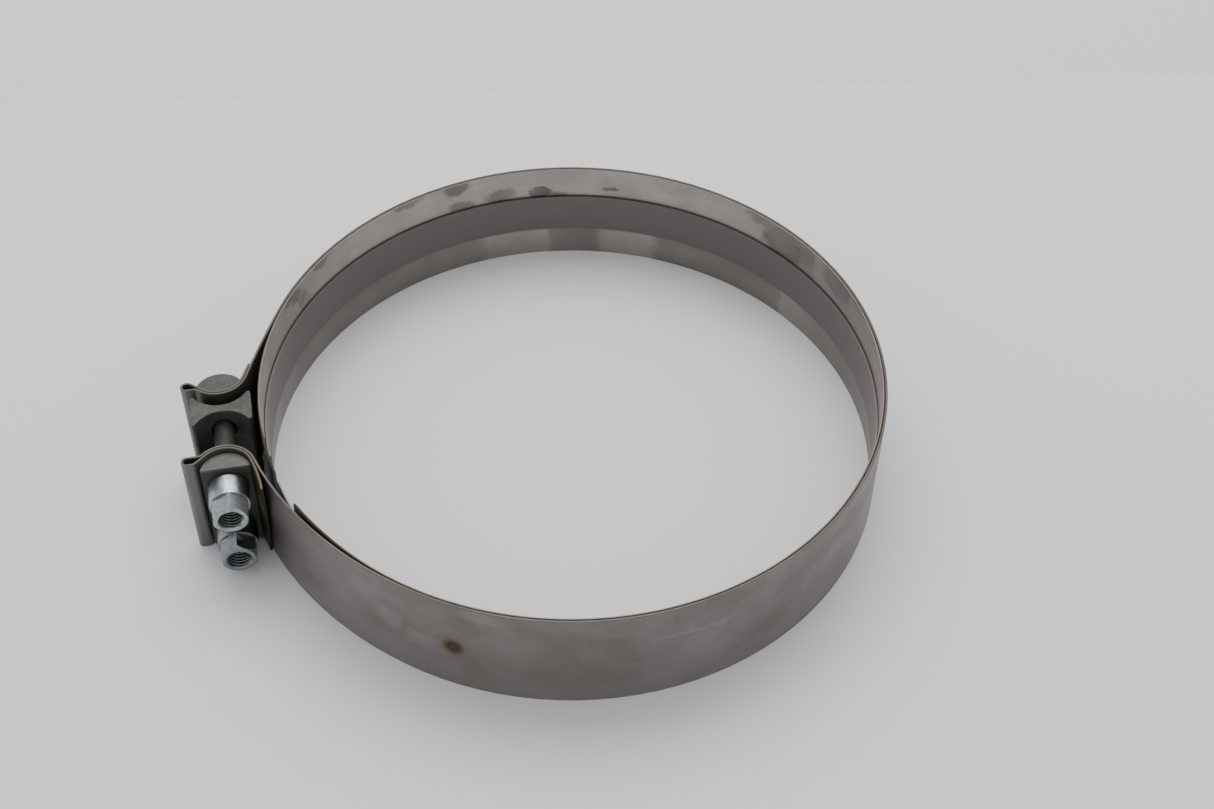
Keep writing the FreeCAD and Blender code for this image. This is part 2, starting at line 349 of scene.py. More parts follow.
def strip_profile(thickness, half_width, rows):
    """A closed ring of (across, height) for a strip whose long edges are rounded."""
    low = -half_width
    high = half_width
    edge = SHEARED_EDGE
    half = thickness / 2
    corner = []
    for k in range(5):
        turn = math.radians(90 * k / 4)
        corner.append((half - edge + edge * math.cos(turn), high - edge + edge * math.sin(turn)))
    side = [low + edge + (high - low - 2 * edge) * k / rows for k in range(rows + 1)]
    right = [(half, z) for z in side[:-1]]
    top = corner + [(-a, z) for a, z in corner[::-1]]
    left = [(-half, z) for z in side[::-1][1:]]
    bottom = [(-a, -z) for a, z in corner[1:]]
    bottom += [(a, -z) for a, z in corner[::-1][:-1]]
    return right + top + left + bottom


def sweep(name, walk, thickness, half_width, rows, stations, warp=None, origin=0.0):
    """A strip along a path. Its texture map runs along the strip from a length along it, the
    origin, and up its width. warp moves a vertex along the path."""
    ring = strip_profile(thickness, half_width, rows)
    count = len(ring)
    points = []
    places = []
    for station in stations:
        for across, height in ring:
            place = warp(station, height) if warp else station
            point, heading = walk.at(place)
            side = point + polar(across, heading + 90)
            points.append((side.x, side.y, height))
            places.append(((place - origin) * MM, height * MM))
    faces = []
    for k in range(len(stations) - 1):
        for j in range(count):
            after = (j + 1) % count
            faces.append((k * count + j, k * count + after,
                          (k + 1) * count + after, (k + 1) * count + j))
    last = (len(stations) - 1) * count
    faces.append(tuple(range(count))[::-1])
    faces.append(tuple(range(last, last + count)))
    obj = mesh_object(name, points, faces)
    layer = obj.data.uv_layers.new(name="strip")
    for loop in obj.data.loops:
        layer.data[loop.index].uv = places[loop.vertex_index]
    fix_normals(obj)
    return obj


def half_strap(start_angle, leave_angle, seat_y, fold_reach, tail):
    """Half of the outer strap from the spring, clockwise, to the ear's free end. The seat is at
    a negative y, and the length along it at which the seat starts comes second."""
    back_radius = SEAT_RADIUS + STRAP / 2
    seat_radius = back_radius + STRAP + FOLD_GAP
    seat = Vector((BOLT_X, seat_y))

    # The flare touches both the round, where the strap leaves it, and the seat.
    out = polar(1, leave_angle)
    reach = out * BAND_MIDDLE - seat
    flare_radius = (reach.dot(reach) - seat_radius**2) / (2 * (seat_radius + reach.dot(out)))
    to_flare = out * (BAND_MIDDLE - flare_radius) - seat
    seat_start = math.degrees(math.atan2(to_flare.y, to_flare.x))

    # The waist touches the seat and bends back level with the fold.
    seat_end = 180 - math.degrees(
        math.asin((FOLD_HEIGHT + WAIST_RADIUS) / (seat_radius + WAIST_RADIUS))
    )
    waist = polar(seat_radius + WAIST_RADIUS, seat_end)

    # The inner ply comes back below the fold, turns up in a loop and climbs to the waist.
    inner_waist = WAIST_RADIUS + STRAP + FOLD_GAP
    rise = math.radians(LOOP_RISE)
    floor = FOLD_HEIGHT - 2 * FOLD_RADIUS
    rise_top = waist + Vector((inner_waist * math.sin(rise), -inner_waist * math.cos(rise)))
    climb = rise_top.y - floor - LOOP_RADIUS * (1 - math.cos(rise))
    floor_end = rise_top.x - climb / math.tan(rise) - LOOP_RADIUS * math.sin(rise)

    walk = Walk(polar(BAND_MIDDLE, start_angle), start_angle - 90)
    walk.bend(BAND_MIDDLE, leave_angle - start_angle)
    walk.bend(flare_radius, seat_start + 180 - leave_angle - 360)
    seat_length = walk.length
    walk.bend(seat_radius, seat_end - seat_start)
    walk.bend(WAIST_RADIUS, 90 - seat_end)
    walk.run(fold_reach + waist.x)
    walk.bend(FOLD_RADIUS, 180)
    walk.run(fold_reach + floor_end)
    walk.bend(LOOP_RADIUS, LOOP_RISE)
    walk.run(climb / math.sin(rise))
    walk.bend(inner_waist, seat_end - 90 - LOOP_RISE)
    leave, radius, length = tail
    walk.bend(back_radius, leave - seat_end)
    walk.bend(abs(radius), math.degrees(length / radius))
    return walk, seat_length


def outer_band():
    """The strap as one strip: front free end, round the bore, rear free end. The lengths along
    it of the spring, the front seat and the rear seat come second."""
    front, front_seat = half_strap(
        SPRING_ANGLE, FRONT_LEAVE_ANGLE, FRONT_SEAT_Y, FRONT_REACH, FRONT_TAIL
    )
    rear, rear_seat = half_strap(
        -SPRING_ANGLE, REAR_LEAVE_ANGLE, -REAR_SEAT_Y, REAR_REACH, REAR_TAIL
    )
    walk = front.reversed().joined(rear.mirrored())
    tail = FRONT_TAIL[2]

    def slanted(station, height):
        """Draws the free end's lower corner back, and the strip behind it less and less."""
        if station >= tail:
            return station
        cut = SLANT * (HALF_WIDTH - height) / (2 * HALF_WIDTH)
        return tail - (tail - station) * (tail - cut) / tail

    obj = sweep("outer_band", walk, STRAP, HALF_WIDTH, 8, walk.stations(), slanted)
    boolean(obj, holes(EAR_HOLE, FRONT_SEAT_Y, 44))
    boolean(obj, holes(EAR_HOLE, REAR_SEAT_Y, 44))
    return smooth(obj), (front.length, front.length - front_seat, front.length + rear_seat)


def round_walk(radius, first, last, ease=None):
    """A path round the bore between two angles. ease = (angle, radius) of a wider last bend."""
    walk = Walk(polar(radius, first), first + math.copysign(90, last - first))
    if ease:
        walk.bend(radius, ease[0] - first)
        walk.bend(ease[1], (last - ease[0]) * radius / ease[1])
    else:
        walk.bend(radius, last - first)
    return walk


def round_strip(name, thickness, half_width, front, rear):
    """One strip from the end of the front path, through the spring, to the end of the rear one."""
    walk = front.reversed().joined(rear)
    return sweep(name, walk, thickness, half_width, 6, walk.stations(turn=2.0),
                 origin=front.length)


def liner():
    middle = LINER_OUTER - LINER / 2
    front = round_walk(middle, SPRING_ANGLE, LINER_FRONT_END, LINER_FRONT_EASE)
    rear = round_walk(middle, SPRING_ANGLE, LINER_REAR_END, LINER_REAR_EASE)
    return smooth(round_strip("liner_strip", LINER, HALF_WIDTH, front, rear))


def seal_belt():
    """The belt, with the thinner tongue that goes on past its front end."""
    middle = BELT_OUTER - BELT / 2
    front = round_walk(middle, SPRING_ANGLE, BELT_FRONT_END)
    rear = round_walk(middle, SPRING_ANGLE, BELT_REAR_END)
    belt = round_strip("seal_belt_strip", BELT, BELT_HALF, front, rear)
    thin = BELT - TONGUE_CLEARANCE
    walk = round_walk(BORE_RADIUS + thin / 2, TONGUE_START, TONGUE_END)
    tongue = sweep("tongue", walk, thin, BELT_HALF, 6, walk.stations(turn=2.0))
    return smooth(join([belt, tongue]))


# ---------------------------------------------------------------- hardware

def arc_points(centre, radius, first, last, steps):
    return [tuple(Vector(centre) + polar(radius, first + (last - first) * k / steps))
            for k in range(steps + 1)]


def reaction_block():
    """A spool-shaped block, hollowed towards each ear."""
    low, high = node_box("reaction_block")
    half_width = (high.x - low.x) / 2
    half_length = (high.y - low.y) / 2
    centre = (high.y + low.y) / 2
    lift = BLOCK_HOLLOW + BLOCK_WAIST / 2
    lean = math.degrees(math.asin((lift - half_length) / BLOCK_HOLLOW))
    corner = half_width - BLOCK_ROUND
    outline = []
    for side in (-1, 1):
        inset = side * (half_length - BLOCK_ROUND)
        first = arc_points((corner, inset), BLOCK_ROUND, 0, 90 * side, 5)
        scoop = arc_points((0, side * lift), BLOCK_HOLLOW, -side * lean, -side * (180 - lean), 32)
        last = arc_points((-corner, inset), BLOCK_ROUND, 90 * side, 180 * side, 5)
        chain = first + scoop + last
        outline += chain if side > 0 else chain[::-1]
    outline = [(BOLT_X + x, centre + y) for x, y in outline]
    obj = prism("reaction_block_steel", outline, low.z, high.z)
    fix_normals(obj)
    boolean(obj, holes(BLOCK_HOLE, centre, 30))
    bevel(obj, BLOCK_WEAR)
    return smooth(obj)


def clamp_bar():
    """A half-round bar, flat towards the nuts."""
    low, high = node_box("clamp_bar")
    radius = high.y - FRONT_SEAT_Y
    lean = math.degrees(math.asin((low.y - FRONT_SEAT_Y) / radius))
    outline = arc_points((BOLT_X, FRONT_SEAT_Y), radius, lean, 180 - lean, 48)
    obj = prism("clamp_bar_steel", outline, low.z, high.z)
    fix_normals(obj)
    boolean(obj, holes(BAR_HOLE, FRONT_SEAT_Y, 60))
    bevel(obj, BAR_WEAR)
    return smooth(obj)


def held(share):
    """A share kept between 0 and 1."""
    return min(1.0, max(0.0, share))


def threaded(name, height, rows, radius_at, sides=56, faces_in=False, caps=False):
    """A helical surface along Y through a bolt's line: radius_at(y, tooth) gives its radius,
    where tooth goes from 0 at a thread's root to 1 at its crest."""
    points = []
    faces = []
    for y in rows:
        for k in range(sides):
            turn = k / sides
            share = (y / PITCH - turn) % 1.0
            tooth = held((abs(2 * share - 1) - 0.1) / 0.8)
            radius = radius_at(y, tooth)
            angle = 2 * math.pi * turn
            points.append((BOLT_X + radius * math.sin(angle), y,
                           height + radius * math.cos(angle)))
    for j in range(len(rows) - 1):
        for k in range(sides):
            after = (k + 1) % sides
            quad = (j * sides + k, j * sides + after,
                    (j + 1) * sides + after, (j + 1) * sides + k)
            faces.append(quad[::-1] if faces_in else quad)
    if caps:
        faces.append(tuple(range(sides))[::-1])
        last = (len(rows) - 1) * sides
        faces.append(tuple(range(last, last + sides)))
    return mesh_object(name, points, faces)


def steps_between(first, last, step):
    count = max(1, round(abs(last - first) / step))
    return [first + (last - first) * k / count for k in range(count + 1)]


def bolt_head(height):
    """A bar with a lens-shaped section: the ear's seat on one side, a flatter back on the other."""
    back_y = HEAD_BACK_Y - HEAD_BACK_RADIUS
    gap = REAR_SEAT_Y - back_y
    cross = (HEAD_RADIUS**2 - HEAD_BACK_RADIUS**2 + gap**2) / (2 * gap)
    half = math.sqrt(HEAD_RADIUS**2 - cross**2)
    low = math.degrees(math.atan2(-cross, half))
    high = math.degrees(math.atan2(gap - cross, half))
    outline = arc_points((BOLT_X, REAR_SEAT_Y), HEAD_RADIUS, 180 - low, 360 + low, 32)
    outline += arc_points((BOLT_X, back_y), HEAD_BACK_RADIUS, high, 180 - high, 24)[1:-1]
    head = prism("head", outline, height - HEAD_HALF, height + HEAD_HALF)
    fix_normals(head)
    return bevel(head, HEAD_WEAR)


def t_bolt(place):
    """A T-bolt whose stem is plain up to the thread, with a chamfered tip."""
    height = BOLT_PLACES[place].z

    def radius_at(y, tooth):
        thread = BOLT_ROOT + THREAD_DEPTH * tooth
        fade = held((THREAD_START_Y - y) / PITCH)
        side = SHANK_RADIUS + (thread - SHANK_RADIUS) * fade
        return min(side, TIP_RADIUS + (y - TIP_Y))

    rows = steps_between(TIP_Y, THREAD_START_Y, PITCH / 9)
    rows += steps_between(THREAD_START_Y, SHANK_END_Y, 4.0)[1:]
    head = bolt_head(height)
    stem = threaded("stem", height, rows, radius_at, caps=True)
    obj = join([head, stem])
    obj.name = f"t_bolt_{place}_steel"
    return smooth(obj)


def hexagon(turn, height):
    """The corners of a nut's hexagon in the plane across Y."""
    corner = NUT_FLATS / math.sqrt(3)
    points = []
    for k in range(6):
        angle = math.radians(60 * k - turn)
        points.append((BOLT_X + corner * math.sin(angle), height + corner * math.cos(angle)))
    return points


def nut_body(height, turn):
    """A hexagon chamfered round its face, a round collar behind it and a plain bore."""
    ring = hexagon(turn, height)
    points = [(x, NUT_FACE_Y - 1, z) for x, z in ring]
    points += [(x, NUT_SHOULDER_Y + 1, z) for x, z in ring]
    faces = [tuple(range(6)), tuple(range(6, 12))[::-1]]
    faces += [(k, 6 + k, 6 + (k + 1) % 6, (k + 1) % 6) for k in range(6)]
    body = mesh_object("nut_body", points, faces)
    fix_normals(body)
    outside = NUT_FLATS / math.sqrt(3) + 0.3
    chamfered = [
        (NUT_FACE_RADIUS, NUT_FACE_Y),
        (NUT_FACE_RADIUS + 0.45, NUT_FACE_Y + 0.12),
        (outside, NUT_FACE_Y + outside - NUT_FACE_RADIUS - 0.35),
        (outside, NUT_SHOULDER_Y + 0.6),
    ]
    boolean(body, lathe("envelope", chamfered, BOLT_X, height), "INTERSECT")
    collar = [
        (NUT_COLLAR_RADIUS - 0.3, NUT_SHOULDER_Y),
        (NUT_COLLAR_RADIUS - 0.08, NUT_SHOULDER_Y + 0.12),
        (NUT_COLLAR_RADIUS, NUT_SHOULDER_Y + 0.4),
        (NUT_COLLAR_RADIUS, NUT_SEAT_Y - 1.6),
        (NUT_COLLAR_RADIUS - 0.15, NUT_SEAT_Y - 1.2),
        (NUT_COLLAR_RADIUS - 1.5, NUT_SEAT_Y),
    ]
    boolean(body, lathe("collar", collar, BOLT_X, height), "UNION")
    bore = [(NUT_BORE_RADIUS, NUT_FACE_Y - 2), (NUT_BORE_RADIUS, NUT_SEAT_Y + 2)]
    boolean(body, lathe("bore", bore, BOLT_X, height))
    return bevel(body, NUT_WEAR, 2, 25)


def nut(place, turn):
    """A nut with a tapped bore, turned by some degrees on its bolt."""
    height = BOLT_PLACES[place].z

    def radius_at(y, tooth):
        """The thread, countersunk at both ends of the bore."""
        thread = NUT_CREST + THREAD_DEPTH * tooth
        mouth = NUT_MOUTH_RADIUS - (y - NUT_FACE_Y)
        back = NUT_MOUTH_RADIUS - 0.15 - (NUT_SEAT_Y - y)
        return min(NUT_MOUTH_RADIUS, max(thread, mouth, back))

    rows = steps_between(NUT_FACE_Y + 0.02, NUT_SEAT_Y - 0.02, PITCH / 10)
    body = nut_body(height, turn)
    bore = threaded("thread", height, rows, radius_at, faces_in=True)
    obj = join([body, bore])
    obj.name = f"nut_{place}_zinc"
    return smooth(obj, 35)


# ---------------------------------------------------------------- materials
#
# A base colour is built up in coats, and each coat's share says where it lies and how strong it
# is. The nodes take lengths in metres, so millimetres are turned into those where they go in.

def rgb(red, green, blue):
    return (red, green, blue, 1.0)


# Where the one spot weld shows on the outside, as an angle and a height.
WELD_ANGLE = -120.7
WELD_HEIGHT = -0.8

# The weld's rings, from the outermost in: radius, strength, softness, colour. The innermost, pale
# bluish ring is a painted highlight on the weld's dark core.
WELD_RINGS_AND_HIGHLIGHT = [
    (5.6, 0.3, 0.5, rgb(0.13, 0.105, 0.075)), (4.3, 0.9, 0.2, rgb(0.135, 0.088, 0.046)),
    (2.7, 0.95, 0.4, rgb(0.033, 0.032, 0.037)), (1.2, 0.7, 0.9, rgb(0.085, 0.087, 0.092)),
]

# How far, along the strap, its colour changes into the ears'.
EAR_FADE = 9


class Shader:
    """Builds one material's node tree."""

    def __init__(self, name):
        self.material = bpy.data.materials.new(name)
        self.material["slot"] = name
        self.material.use_nodes = True
        self.tree = self.material.node_tree
        self.surface = self.tree.nodes["Principled BSDF"]

    def node(self, kind, settings=None, **inputs):
        node = self.tree.nodes.new("ShaderNode" + kind)
        for key, value in (settings or {}).items():
            setattr(node, key, value)
        for key, value in inputs.items():
            self.put(node, key.replace("_", " "), value)
        return node

    def put(self, node, key, value):
        socket = node.inputs[int(key)] if key.isdigit() else node.inputs[key]
        if isinstance(value, bpy.types.NodeSocket):
            self.tree.links.new(value, socket)
        else:
            socket.default_value = value

    def math(self, operation, first, second=0.0):
        node = self.tree.nodes.new("ShaderNodeMath")
        node.operation = operation
        self.put(node, "0", first)
        self.put(node, "1", second)
        return node.outputs[0]

    def times(self, first, second):
        return self.math("MULTIPLY", first, second)

    def hypotenuse(self, first, second):
        squares = self.math("ADD", self.times(first, first), self.times(second, second))
        return self.math("SQRT", squares)

    def object_place(self):
        return self.node("TexCoord").outputs["Object"]

    def xyz(self, vector):
        return self.node("SeparateXYZ", Vector=vector).outputs

    def strip_place(self, along=1.0, up=1.0, shift=0.0):
        """The strip's own map, stretched, as a vector in metres."""
        uv = self.node("UVMap", {"uv_map": "strip"}).outputs["UV"]
        return self.node("Mapping", Vector=uv, Scale=(along, up, 1.0),
                         Location=(shift, 0.0, 0.0)).outputs[0]

    def noise(self, place, scale, detail=3.0, rough=0.55, distortion=0.0):
        return self.node("TexNoise", Vector=place, Scale=scale, Detail=detail,
                         Roughness=rough, Distortion=distortion).outputs["Fac"]

    def spread(self, value, low, high, to_low=0.0, to_high=1.0, smooth=True):
        """A value between low and high, which may fall, spread over another range."""
        kind = {"interpolation_type": "SMOOTHSTEP"} if smooth else {}
        return self.node("MapRange", kind, Value=value, From_Min=low, From_Max=high,
                         To_Min=to_low, To_Max=to_high).outputs[0]

    def blend(self, share, first, second):
        node = self.tree.nodes.new("ShaderNodeMix")
        node.data_type = "RGBA"
        self.put(node, "0", share)
        self.put(node, "6", first)
        self.put(node, "7", second)
        return node.outputs[2]

    def levels(self, value, span, stops):
        """A level that changes along value, from (place, level) stops up to span."""
        node = self.node("ValToRGB", Fac=self.math("DIVIDE", value, span))
        marks = node.color_ramp.elements
        marks.remove(marks[1])
        for k, (place, level) in enumerate(stops):
            mark = marks.new(place / span) if k else marks[0]
            mark.position = place / span
            mark.color = rgb(level, level, level)
        return node.outputs["Color"]

    def bump(self, height, distance, strength=1.0, under=None):
        node = self.node("Bump", Strength=strength, Distance=distance, Height=height)
        if under is not None:
            self.put(node, "Normal", under)
        return node.outputs[0]

    def finish(self, color, roughness, normal=None, metallic=1.0):
        self.put(self.surface, "Base Color", color)
        self.put(self.surface, "Roughness", roughness)
        self.surface.inputs["Metallic"].default_value = metallic
        if normal is not None:
            self.put(self.surface, "Normal", normal)
        return self.material


def rolled(shader, shift=0.0):
    """Fine lines along a rolled strip, as a height."""
    fine = shader.noise(shader.strip_place(9.0, 2600.0, shift), 1.0, 3.0, 0.6)
    broad = shader.noise(shader.strip_place(5.0, 420.0, shift + 3.0), 1.0, 2.0, 0.5)
    return shader.math("ADD", shader.times(fine, 0.5), shader.times(broad, 0.5))


def ragged(shader, amount):
    """The strip's map, pushed about so that patches on it get uneven edges."""
    uv = shader.node("UVMap", {"uv_map": "strip"}).outputs["UV"]
    push = shader.node("TexNoise", Vector=uv, Scale=170.0, Detail=3.0).outputs["Color"]
    push = shader.node("VectorMath", {"operation": "SUBTRACT"},
                       **{"0": push, "1": (0.5, 0.5, 0.5)}).outputs[0]
    push = shader.node("VectorMath", {"operation": "SCALE"}, Vector=push,
                       Scale=amount * MM).outputs[0]
    return shader.node("VectorMath", {"operation": "ADD"}, **{"0": uv, "1": push}).outputs[0]


def patches(shader, place, spots, soft=0.2):
    """The strongest of several oval patches, each (along, up, half length, half height,
    strength) in millimetres."""
    total = None
    for along, up, length, height, strength in spots:
        near = shader.node("Mapping", {"vector_type": "TEXTURE"}, Vector=place,
                           Location=(along * MM, up * MM, 0.0),
                           Scale=(length * MM, height * MM, 1.0)).outputs[0]
        away = shader.node("VectorMath", {"operation": "LENGTH"},
                           **{"0": near}).outputs["Value"]
        one = shader.spread(away, 1 + soft, 1 - soft, 0.0, strength)
        total = one if total is None else shader.math("MAXIMUM", total, one)
    return total


def rim(shader, edge=HALF_WIDTH):
    """1 on the strip's sheared edges, 0 on its faces."""
    height = shader.xyz(shader.object_place())[2]
    return shader.spread(shader.math("ABSOLUTE", height), (edge - 0.2) * MM, (edge - 0.06) * MM)


def painted_light_foot(shader, base, color):
    """Painted light: the strip gets a little paler towards its lower edge, to offset the shade it
    reflects from the floor there.
    """
    height = shader.xyz(shader.object_place())[2]
    return shader.blend(shader.spread(height, -6 * MM, -25 * MM, 0.0, 0.5), base, color)


def bore_reach(shader):
    """How far the surface is from the middle of the bore."""
    x, y, _ = shader.xyz(shader.object_place())
    return shader.hypotenuse(x, y)


def bolt_reach(shader):
    """How far the surface is from the middle line of the nearer bolt."""
    x, _, z = shader.xyz(shader.object_place())
    aside = shader.math("SUBTRACT", x, BOLT_X * MM)
    above = shader.math("SUBTRACT", shader.math("ABSOLUTE", z), BOLT_HEIGHT * MM)
    return shader.hypotenuse(aside, above)


def within_bolt(shader, reach):
    """1 within a bolt's own radius of its line, 0 past the nuts' bores."""
    return shader.spread(reach, NUT_BORE_RADIUS * MM, (NUT_BORE_RADIUS - 0.2) * MM)


def band_steel(spring, ear_front, ear_rear):
    """The outer strap. The spring and the two ears' seats are lengths along it."""
    weld = spring - BAND_MIDDLE * math.radians(SPRING_ANGLE - WELD_ANGLE)
    shader = Shader("band_steel")
    place = shader.object_place()
    lines = rolled(shader)
    along = shader.xyz(shader.strip_place())[0]
    cloud = shader.noise(shader.strip_place(1.0, 1.3), 38.0, 4.0, 0.6, 0.4)
    broad = shader.noise(shader.strip_place(1.0, 0.9, 7.0), 14.0, 3.0, 0.5, 0.6)
    base = shader.blend(shader.spread(cloud, 0.35, 0.68), rgb(0.187, 0.174, 0.16),
                        rgb(0.219, 0.204, 0.189))
    base = shader.blend(shader.times(shader.spread(broad, 0.52, 0.62), 0.4),
                        base, rgb(0.268, 0.24, 0.232))
    base = shader.blend(shader.times(shader.spread(lines, 0.42, 0.6), 0.15),
                        base, rgb(0.155, 0.142, 0.132))
    # Painted light: paler towards the lower edge.
    base = painted_light_foot(shader, base, rgb(0.31, 0.29, 0.27))

    # The ears are greyer than the round, and more specked.
    front = shader.spread(along, (ear_front + EAR_FADE) * MM, (ear_front - EAR_FADE) * MM)
    rear = shader.spread(along, (ear_rear - EAR_FADE) * MM, (ear_rear + EAR_FADE) * MM)
    ears = shader.math("ADD", front, rear)
    base = shader.blend(shader.times(ears, 0.8), base, rgb(0.175, 0.179, 0.168))
    speck = shader.spread(shader.noise(place, 420.0, 3.0, 0.7), 0.5, 0.75)
    base = shader.blend(shader.times(speck, shader.spread(ears, 0.0, 1.0, 0.12, 0.35)),
                        base, rgb(0.1, 0.094, 0.086))

    # Pale places on the front, where it was wiped or rubbed.
    pale = patches(shader, ragged(shader, 9.0), [
        (weld - 41, 12, 9, 5, 0.5), (weld - 28, 3, 6, 6, 0.6), (weld - 14, -3, 7, 4, 0.5),
        (weld + 12, 22, 8, 3, 0.55), (weld - 3, -13, 6, 6, 0.3), (weld + 96, 9, 18, 1.2, 0.7),
        (weld + 104, -4, 12, 9, 0.4), (weld - 52, -10, 10, 9, 0.35),
    ], 0.6)
    base = shader.blend(pale, base, rgb(0.275, 0.252, 0.238))

    # The weld's rings; the innermost is a painted highlight.
    worn = ragged(shader, 0.8)
    for size, strength, soft, color in WELD_RINGS_AND_HIGHLIGHT:
        spot = patches(shader, worn, [(weld, WELD_HEIGHT, size, size, strength)], soft)
        base = shader.blend(spot, base, color)

    # A brown heat tint at the front free end, gold on its rim, and the end's slanted cut.
    heat = shader.times(shader.spread(along, 36 * MM, 21 * MM),
                        shader.spread(cloud, 0.3, 0.6, 0.35, 0.8))
    base = shader.blend(heat, base, rgb(0.115, 0.085, 0.052))
    base = shader.blend(rim(shader), base,
                        shader.blend(ears, rgb(0.092, 0.086, 0.079), rgb(0.09, 0.084, 0.075)))
    gold = shader.times(rim(shader), shader.spread(along, 28 * MM, 16 * MM))
    base = shader.blend(shader.times(gold, 0.8), base, rgb(0.105, 0.076, 0.046))
    height = shader.xyz(place)[2]
    cut = shader.spread(height, -HALF_WIDTH * MM, HALF_WIDTH * MM, SLANT * MM, 0.0, False)
    end = shader.spread(shader.math("SUBTRACT", along, cut), 0.35 * MM, 0.1 * MM)
    base = shader.blend(end, base, rgb(0.05, 0.042, 0.031))

    rough = shader.spread(cloud, 0.3, 0.7, 0.56, 0.46)
    grain = shader.noise(place, 2600.0, 2.0, 0.6)
    normal = shader.bump(lines, 0.02 * MM, 0.35)
    normal = shader.bump(grain, 0.02 * MM, 0.25, normal)
    return shader.finish(base, rough, normal)


# Dark patches high on the liner: angle, height, half angle, half height, strength.
HIGH_PATCHES = [
    (177, 23, 2.2, 2.6, 0.7), (156, 25, 1.6, 1.6, 0.3), (150, 24.6, 2.6, 1.8, 0.85),
    (147.8, 21.5, 2.3, 3.2, 0.8), (146, 16.5, 1.7, 4.6, 0.65), (145, 12.5, 2.0, 3.0, 0.4),
    (139, 24, 2.3, 2.4, 0.6), (115, 24.6, 3.6, 3.0, 0.65), (104, 23.5, 3.0, 3.8, 0.78),
    (103, 11.8, 2.9, 2.8, 0.6), (94.6, 13.4, 3.4, 3.9, 0.7), (86, 12.6, 2.5, 3.2, 0.95),
    (83, 11, 2.4, 1.4, 0.6), (71.3, 14.2, 1.8, 1.2, 0.75), (39, 24.5, 3.2, 2.6, 0.55),
    (35, 23, 5.4, 4.4, 0.7), (31.5, 17, 5.4, 10, 0.8), (27, 20, 4.6, 8.0, 0.6),
    (25, 13, 2.6, 5.0, 0.4), (14.6, 22, 5.0, 7.4, 0.7), (7, 25, 1.8, 1.4, 0.5),
    (-50, 19, 5.0, 6.0, 0.8), (-72, 22, 4.0, 5.0, 0.7), (-104, 16, 3.0, 5.0, 0.8),
    (-132, 23, 4.0, 3.6, 0.7),
]

# How dark the liner is below its belt, by angle. Past the spring it repeats, closer together.
# The span is a length of the strip that takes in every angle, in metres.
LOW_SPAN = 0.48
LOW_REPEAT = -1.25
LOW_LEVELS = [
    (-10.5, 0.15), (5.6, 0.2), (6.4, 0.7), (12.6, 0.75), (13.4, 0.2), (30.6, 0.2), (31.4, 0.88),
    (61.0, 0.85), (63.0, 0.12), (73.0, 0.15), (74.6, 0.88), (84.2, 0.88), (84.9, 0.18),
    (97.4, 0.25), (99.2, 0.8), (118.0, 0.85), (141.0, 0.95), (144.0, 0.85), (151.5, 0.9),
    (153.2, 0.5), (161.0, 0.5), (163.0, 0.2),
]


def liner_steel():
    """Satin steel with dark smudges, in patches above the belt and in stretches below it."""
    shader = Shader("liner_steel")
    place = shader.object_place()
    lines = rolled(shader, 11.0)
    haze = shader.noise(shader.strip_place(1.0, 1.2, 2.0), 45.0, 4.0, 0.6, 0.3)

    # The smudges are given by angle. A degree is this long on the strip.
    degree = math.radians(1) * (LINER_OUTER - LINER / 2)
    worn = ragged(shader, 7.0)
    spots = [((angle - SPRING_ANGLE) * degree, height, wide * degree, tall, strength)
             for angle, height, wide, tall, strength in HIGH_PATCHES]
    high = patches(shader, worn, spots, 0.26)
    along = shader.xyz(worn)[0]
    along = shader.math("MAXIMUM", along, shader.times(along, LOW_REPEAT))
    stops = [((angle - SPRING_ANGLE) * degree * MM, level) for angle, level in LOW_LEVELS]
    low = shader.levels(along, LOW_SPAN, stops)
    height = shader.xyz(place)[2]
    smudge = shader.blend(shader.spread(height, 0.0, -2 * MM), high, low)

    base = shader.blend(shader.spread(haze, 0.3, 0.7), rgb(0.325, 0.303, 0.281),
                        rgb(0.385, 0.36, 0.334))

    # Painted shade: it is darker towards the two sides of the ring, most of all beside the ears,
    # and again at the far right edge.
    across = shader.xyz(place)[0]
    aside = shader.math("ADD", shader.spread(across, 70 * MM, 125 * MM, 0.0, 0.25),
                        shader.spread(across, -70 * MM, -125 * MM, 0.0, 0.6))
    base = shader.blend(aside, base, rgb(0.165, 0.154, 0.143))
    # Painted light: paler towards the lower edge.
    base = painted_light_foot(shader, base, rgb(0.42, 0.39, 0.36))
    base = shader.blend(shader.spread(across, 112 * MM, 129 * MM, 0.0, 0.5), base,
                        rgb(0.12, 0.112, 0.104))
    base = shader.blend(shader.times(smudge, shader.spread(haze, 0.3, 0.7, 1.0, 0.8)),
                        base, shader.blend(shader.spread(height, 2 * MM, -22 * MM),
                                           rgb(0.118, 0.106, 0.097), rgb(0.225, 0.207, 0.19)))

    # Painted shadow: the dark line just below the belt's lower edge, where the belt shades the
    # liner; after it, the sheared edges.
    corner = shader.times(shader.spread(height, -11.4 * MM, -10.2 * MM),
                          shader.spread(height, -8.5 * MM, -9.5 * MM))
    base = shader.blend(shader.times(corner, 0.5), base, rgb(0.07, 0.06, 0.052))
    base = shader.blend(shader.times(shader.spread(lines, 0.42, 0.6), 0.1),
                        base, rgb(0.2, 0.184, 0.168))
    # Painted shade: the outer half of the sheared edges, against the strap, is near black for the
    # gap's shadow; the inner half is pale tan.
    reach = bore_reach(shader)
    inner = (LINER_OUTER - LINER) * MM
    edge = shader.blend(shader.spread(reach, inner + 0.3 * MM, inner + 0.55 * MM),
                        rgb(0.19, 0.15, 0.13), rgb(0.034, 0.027, 0.022))
    base = shader.blend(rim(shader), base, edge)

    rough = shader.spread(haze, 0.3, 0.7, 0.48, 0.42)
    grain = shader.noise(place, 2300.0, 2.0, 0.6)
    normal = shader.bump(lines, 0.02 * MM, 0.3)
    normal = shader.bump(grain, 0.02 * MM, 0.25, normal)
    return shader.finish(base, rough, normal)


